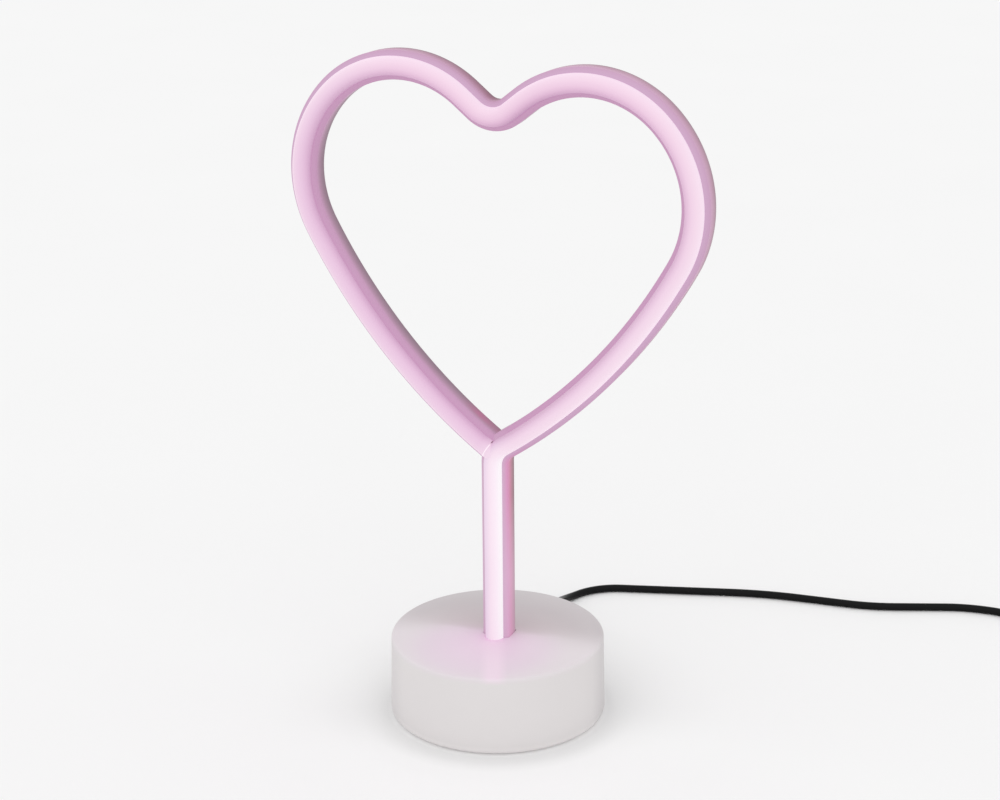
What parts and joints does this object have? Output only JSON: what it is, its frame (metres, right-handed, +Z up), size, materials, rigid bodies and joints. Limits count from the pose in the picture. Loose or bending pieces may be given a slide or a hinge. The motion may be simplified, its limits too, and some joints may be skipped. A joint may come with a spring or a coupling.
{
  "type": "heart table lamp",
  "caption": "Neon-style light tube bent into a heart on a short stem, on a round weighted base with a slide switch and a pull-out low-voltage power lead.",
  "frame": {"origin": "centre of the round base on the table plane, level with the underside of the foot pad", "axes": "+Z up along the stem, heart in the XZ plane, its light-giving front towards -Y, the lead leaves towards +Y"},
  "size_m": [0.354, 0.2199, 0.2771],
  "materials": {
    "base_white": "satin warm white",
    "cover_white": "matt white",
    "ballast_steel": "zinc plated",
    "foot_rubber": "matt",
    "screw_steel": "bright zinc",
    "board_green": "solder mask",
    "black_plastic": "satin black",
    "contact_brass": "gold flash",
    "plug_steel": "nickel plated",
    "wire_red": "gloss",
    "jacket_pink": "satin silicone, lit from inside",
    "diffuser_milk": "satin milky silicone, lit from inside",
    "cap_clear": "gloss, clear silicone",
    "ribbon_white": "white solder mask",
    "chip_cream": "gloss",
    "former_steel": "drawn wire",
    "lead_black": "satin black",
    "tongue_white": "satin"
  },
  "bodies": {
    "base": {"base_shell": "base_white", "base_cover": "cover_white", "ballast_plate": "ballast_steel", "foot_pad": "foot_rubber", "cover_screws": "screw_steel", "stem_clamp": "cover_white", "clamp_screws": "screw_steel", "circuit_board": "board_green", "board_screws": "screw_steel", "jack_body": "black_plastic", "jack_pin": "contact_brass", "switch_body": "plug_steel", "lead_wires": "wire_red", "tube_jacket": "jacket_pink", "tube_diffuser": "diffuser_milk", "tube_end_cap": "cap_clear", "led_ribbon": "ribbon_white", "led_chips": "chip_cream", "chip_resistors": "black_plastic", "former_wire": "former_steel"},
    "knob": {"switch_knob": "black_plastic"},
    "lead": {"plug_barrel": "plug_steel", "plug_overmould": "lead_black", "cable": "lead_black", "usb_overmould": "lead_black", "usb_shell": "plug_steel", "usb_tongue": "tongue_white", "usb_contacts": "contact_brass"}
  },
  "joints": [
    {"name": "switch_slide", "type": "slide", "parent": "base", "child": "knob", "axis": [1, 0, 0], "range_m": [0, 0.004]},
    {"name": "plug_pull", "type": "slide", "parent": "base", "child": "lead", "axis": [0, 1, 0], "range_m": [0, 0.014]}
  ]
}
